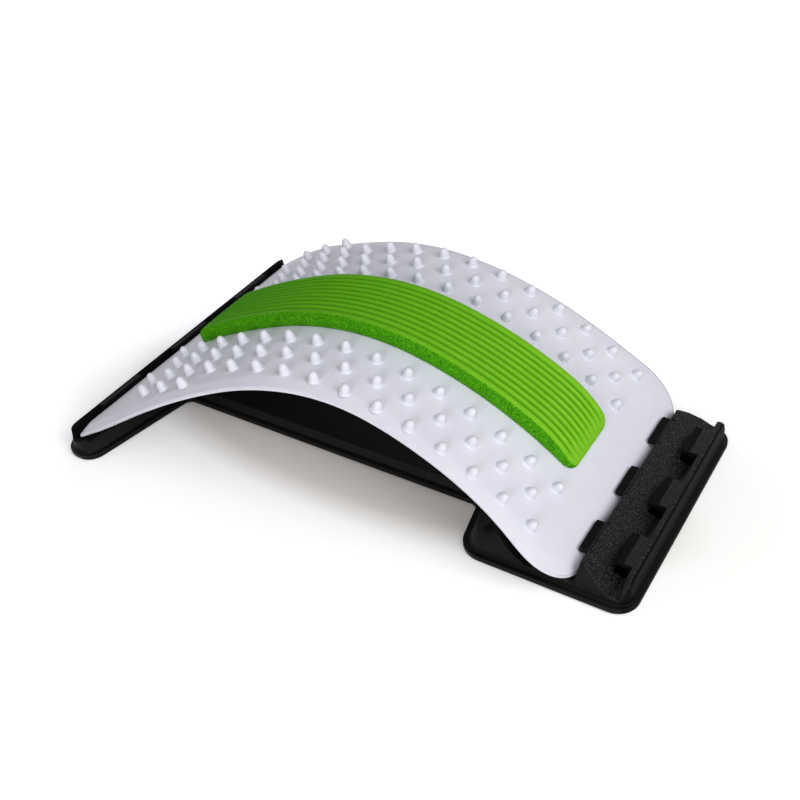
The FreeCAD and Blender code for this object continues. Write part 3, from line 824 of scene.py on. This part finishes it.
@dataclass
class Base:
    """Base moulding: the solid's own form, with its edges eased and its tool finishes told apart.

    Lengths in millimetres, angles in degrees. A rise is the least upward part of a face's normal, and the wall's
    lean is the least part of it towards +X.
    """

    finishes: tuple[Finishes, ...] = (Finishes.SATIN, Finishes.GRAINED, Finishes.DULL_SHADED)
    # Eased edges
    merge_distance: float = 0.01
    flat_angle: float = 1.2
    edge_round: float = 0.55
    edge_angle: float = 33.0
    crease_angle: float = 25.0
    edge_steps: int = 2
    # Grained faces of the toothed foot
    grained_rise: float = 0.86
    grained_height: float = 6.0
    grained_from: float = 134.0
    # Dull faces with painted shade: the fixed slot's tabs, the hook tabs' noses and the toothed foot's outer wall
    dull_shaded_rise: float = 0.5
    slot_end: float = -150.0
    slot_height: float = 10.0
    nose_height: float = 17.6
    nose_ends: tuple[float, ...] = (133.1, 158.5, 178.9)
    nose_length: float = 6.0
    wall_from: float = 180.0
    wall_lean: float = 0.5

    def finish_slots(self, centres: Array, normals: Array) -> Array:
        """Pick each face's material slot.

        The noses of the hook tabs, the tops of the fixed slot's tabs and the toothed foot's outer wall are
        dull and darker, painted shade; what else faces upwards on that foot is grained; the rest is satin.

        Args:
            centres: centre of each face, in millimetres.
            normals: normal of each face.

        Returns:
            Slot numbers, which count the base's finishes from 0.
        """
        x, _, z = centres.T
        behind = np.array(self.nose_ends)[:, None] - x
        on_nose = (z > self.nose_height) & ((behind > 0) & (behind < self.nose_length)).any(axis=0)
        on_slot = (x < self.slot_end) & (z > self.slot_height)
        on_wall = (x > self.wall_from) & (normals[:, 0] > self.wall_lean)
        # Dull and darker: painted shade on the noses, the slot's tabs and the outer wall
        dull_shaded = ((on_nose | on_slot) & (normals[:, 2] > self.dull_shaded_rise)) | on_wall
        grained = (x > self.grained_from) & (z > self.grained_height) & (normals[:, 2] > self.grained_rise)
        return np.where(dull_shaded, 2, np.where(grained, 1, 0))

    def build(self) -> bpy.types.Object:
        """Merge a copy of the solid's triangles, join flat ones, pick the finishes and ease the edges.

        The copy is cut across where each row of noses ends, so that no face crosses from one finish to another.

        Returns:
            The base moulding.
        """
        body = bmesh.new()
        body.from_mesh(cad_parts["base"].data)
        bmesh.ops.remove_doubles(body, verts=body.verts, dist=self.merge_distance * MM)
        for end in self.nose_ends:
            bmesh.ops.bisect_plane(body, geom=[*body.verts, *body.edges, *body.faces],
                                   plane_co=(end * MM, 0, 0), plane_no=(1, 0, 0))
        centres = np.array([face.calc_center_median() for face in body.faces]) / MM
        normals = np.array([face.normal for face in body.faces])
        for face, slot in zip(body.faces, self.finish_slots(centres, normals)):
            face.material_index = int(slot)
            face.smooth = True
        bmesh.ops.dissolve_limit(body, angle_limit=math.radians(self.flat_angle), verts=body.verts,
                                 edges=body.edges, delimit={"MATERIAL"})
        for edge in body.edges:
            edge.smooth = edge.calc_face_angle(0) < math.radians(self.crease_angle)
        mesh = bpy.data.meshes.new("base_moulding")
        body.to_mesh(mesh)
        body.free()
        for finish in self.finishes:
            mesh.materials.append(MATERIALS[finish])
        piece = bpy.data.objects.new("base_moulding", mesh)
        bpy.context.collection.objects.link(piece)
        ease = piece.modifiers.new("eased_edges", "BEVEL")
        ease.width = self.edge_round * MM
        ease.segments = self.edge_steps
        ease.limit_method = "ANGLE"
        ease.angle_limit = math.radians(self.edge_angle)
        ease.use_clamp_overlap = False
        ease.harden_normals = True
        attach(piece, "base_body")
        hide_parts("base")
        return piece


# Pieces that keep their solid


@dataclass
class KeptNodes:
    """CAD nodes whose shape is right: they only get their finish."""

    finishes: dict[str, Finishes] = field(default_factory=lambda: {
        "pad_tape": Finishes.TAPE,
        **{f"anti_slip_pad_{index}": Finishes.RUBBER for index in range(1, 5)}})

    def build(self) -> None:
        """Assign the finish of every kept node."""
        for name, finish in self.finishes.items():
            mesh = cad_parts[name].data
            mesh.materials.clear()
            mesh.materials.append(MATERIALS[finish])
            LOG.info("finish of %s: %s", name, finish.value.name)


# Studio


@dataclass
class SoftBox:
    """One square lamp, aimed at the object. Lengths in metres."""

    name: str
    place: tuple[float, float, float]
    size: float
    power: float

    def build(self, target: Vector) -> None:
        """Make the lamp and turn it to the target."""
        data = bpy.data.lights.new(self.name, "AREA")
        data.shape = "SQUARE"
        data.size = self.size
        data.energy = self.power
        lamp = bpy.data.objects.new(self.name, data)
        lamp.location = self.place
        lamp.rotation_euler = (target - Vector(self.place)).to_track_quat("-Z", "Y").to_euler()
        bpy.context.collection.objects.link(lamp)


@dataclass(frozen=True)
class Glow:
    """One part of the floor's glow, painted light given off by the floor over an ellipse on the floor plane. Lengths
    in metres.

    Its strength grows with the distance from the centre, counted in the two reaches, from nothing at near to
    the whole amount at far.
    """

    centre: tuple[float, float]
    reach: tuple[float, float]
    near: float
    far: float
    amount: float


@dataclass
class Studio:
    """White floor and background, soft lamps and the photograph's camera.

    The camera's place is in millimetres, the rest in metres and degrees. The paper is warm, so that the shadow
    on it is, and the floor's glow, painted light, is cool, so that the open floor comes out white.
    """

    camera_place: tuple[float, float, float] = (308.3, -418.3, 437.1)
    yaw: float = 36.39
    pitch: float = 38.64
    roll: float = -6.67
    focal_pixels: float = 1030.9
    image_width: float = 800.0
    sensor: float = 36.0
    clip: tuple[float, float] = (0.01, 50.0)
    white_paper: str = "#F4F0EA"
    # The dark paper is painted shade, under the base's windows
    painted_shade_paper: str = "#2A2928"
    glow_colour: str = "#EEF5FF"
    # Painted light on the floor: weakest near the object, where the floor keeps its cast shadow
    glows: tuple[Glow, ...] = (
        Glow((-0.006, -0.015), (0.233, 0.08), 0.70, 0.94, 0.266),
        Glow((-0.08, -0.001), (0.316, 0.091), 0.89, 2.06, 0.262),
        Glow((0.052, -0.06), (0.27, 0.173), 0.93, 1.19, 0.357))
    # Lines that part the floor into faces, and how far from the middle line each column of them is dark paper:
    # painted shade under the base
    floor_size: float = 12.0
    floor_x: tuple[float, ...] = (-0.186, -0.168, -0.157, 0.105, 0.186)
    floor_y: tuple[float, ...] = (-0.116, -0.074, -0.038, 0.038, 0.074, 0.116)
    painted_shade_reach: tuple[float, ...] = (0.0, 0.116, 0.074, 0.038, 0.074, 0.0)
    ambient: float = 0.18
    lamps: tuple[SoftBox, ...] = (
        SoftBox("key_softbox", (1.2, -0.3, 1.15), 1.1, 17.0),
        SoftBox("top_softbox", (0.1, 0.0, 1.7), 1.2, 2.2),
        SoftBox("front_softbox", (0.3, -1.5, 0.6), 0.7, 9.8),
    )

    def seen_directly(self, tree: NodeTree) -> bpy.types.NodeSocket:
        """One for camera, glossy and transmission rays, zero for the rest: the highest of the three flags.

        Args:
            tree: the node tree that asks.

        Returns:
            The flag's socket.
        """
        path = add_node(tree, "ShaderNodeLightPath").outputs
        either = add_node(tree, "ShaderNodeMath", {"0": path["Is Camera Ray"], "1": path["Is Glossy Ray"]},
                          operation="MAXIMUM")
        return add_node(tree, "ShaderNodeMath", {"0": either.outputs[0], "1": path["Is Transmission Ray"]},
                        operation="MAXIMUM").outputs[0]

    def camera(self) -> None:
        """Place the camera by its yaw, pitch down and roll, with the focal length in pixels of the frame."""
        yaw, pitch, roll = (math.radians(v) for v in (self.yaw, self.pitch, self.roll))
        ahead = Vector((-math.sin(yaw) * math.cos(pitch), math.cos(yaw) * math.cos(pitch), -math.sin(pitch)))
        level = Vector((math.cos(yaw), math.sin(yaw), 0))
        upright = level.cross(ahead)
        right = level * math.cos(roll) + upright * math.sin(roll)
        up = upright * math.cos(roll) - level * math.sin(roll)
        turn = Matrix((right, up, -ahead)).transposed()
        data = bpy.data.cameras.new("photo_camera")
        data.sensor_width = self.sensor
        data.lens = self.sensor * self.focal_pixels / self.image_width
        data.clip_start, data.clip_end = self.clip
        eye = bpy.data.objects.new("photo_camera", data)
        eye.matrix_world = Matrix.Translation(Vector(self.camera_place) * MM) @ turn.to_4x4()
        bpy.context.collection.objects.link(eye)
        bpy.context.scene.camera = eye

    def world(self) -> None:
        """White to the camera and to reflections, and a plain grey light on everything else."""
        world = bpy.data.worlds.new("studio")
        world.use_nodes = True
        tree = world.node_tree
        tree.nodes.clear()
        strength = add_node(tree, "ShaderNodeMapRange", {
            "Value": self.seen_directly(tree), "To Min": self.ambient, "To Max": 1.0})
        light = add_node(tree, "ShaderNodeBackground", {
            "Color": to_linear("#FFFFFF"), "Strength": strength.outputs["Result"]})
        add_node(tree, "ShaderNodeOutputWorld", {"Surface": light.outputs["Background"]})
        bpy.context.scene.world = world

    def paper(self, name: str, colour: str, glows: bool) -> bpy.types.Material:
        """Matt paper, whose glow, painted light, only direct looks and reflections see, as the sum of its parts.

        Args:
            name: the material's name.
            colour: the paper's colour.
            glows: whether it has the glow.

        Returns:
            The new material.
        """
        material = bpy.data.materials.new(name)
        material.use_nodes = True
        tree = material.node_tree
        tree.nodes.clear()
        surface = add_node(tree, "ShaderNodeBsdfDiffuse", {"Color": to_linear(colour)}).outputs[0]
        if glows:
            place = add_node(tree, "ShaderNodeTexCoord").outputs["Object"]
            glow: bpy.types.NodeSocket | float = 0.0
            for part in self.glows:
                moved = add_node(tree, "ShaderNodeVectorMath", {"0": place, "1": (*part.centre, 0.0)},
                                 operation="SUBTRACT")
                share = add_node(tree, "ShaderNodeVectorMath", {"0": moved.outputs[0], "1": (*part.reach, 1.0)},
                                 operation="DIVIDE")
                away = add_node(tree, "ShaderNodeVectorMath", {"0": share.outputs[0]}, operation="LENGTH")
                grown = add_node(tree, "ShaderNodeMapRange", {
                    "Value": away.outputs["Value"], "From Min": part.near, "From Max": part.far,
                    "To Max": part.amount})
                glow = add_node(tree, "ShaderNodeMath", {"0": grown.outputs["Result"], "1": glow},
                                operation="ADD").outputs[0]
            shine = add_node(tree, "ShaderNodeMath", {"0": self.seen_directly(tree), "1": glow},
                             operation="MULTIPLY")
            light = add_node(tree, "ShaderNodeEmission", {
                "Color": to_linear(self.glow_colour), "Strength": shine.outputs[0]})
            surface = add_node(tree, "ShaderNodeAddShader", {"0": light.outputs[0], "1": surface}).outputs[0]
        add_node(tree, "ShaderNodeOutputMaterial", {"Surface": surface})
        return material

    def floor(self) -> None:
        """A sheet of faces on the floor plane: the ones under the base are dark paper, painted shade, so that its
        windows are dark too.
        """
        half = self.floor_size / 2
        x, y = np.meshgrid((-half, *self.floor_x, half), (-half, *self.floor_y, half), indexing="ij")
        points = np.stack([x, y, np.zeros_like(x)], axis=-1).reshape(-1, 3) / MM
        faces = grid_faces(*x.shape)
        columns = np.arange(len(faces)) // (x.shape[1] - 1)
        painted_shade_faces = np.abs(points[faces, 1].mean(axis=1)) * MM < np.array(self.painted_shade_reach)[columns]
        papers = [self.paper("matt_paper_white", self.white_paper, True),
                  self.paper("matt_paper_painted_shade", self.painted_shade_paper, False)]
        make_piece("floor", points, faces, papers, painted_shade_faces)

    def build(self) -> None:
        """Make the camera, world, floor and lamps."""
        bpy.context.scene.view_settings.view_transform = "Standard"
        self.camera()
        self.world()
        self.floor()
        low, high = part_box("base")
        for lamp in self.lamps:
            lamp.build((low + high) / 2)


def main() -> None:
    """Build the studio, the finishes and each piece in turn."""
    logging.basicConfig(level=logging.INFO, format="%(name)s: %(message)s")
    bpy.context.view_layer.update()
    Studio().build()
    for finish in Finishes:
        MATERIALS[finish] = finish.value.build()
    low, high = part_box("arch_plate")
    arch = Arch((low.x / MM, SEAT_HEIGHTS[0]), (high.x / MM, SEAT_HEIGHTS[1]))
    LOG.info("plate length %.1f mm", arch.length)
    KeptNodes().build()
    for piece in (Base().build(), Plate(arch).build(), FoamStrip(arch).build()):
        LOG.info("%s: %d faces", piece.name, len(piece.data.polygons))


if __name__ == "__main__":
    main()
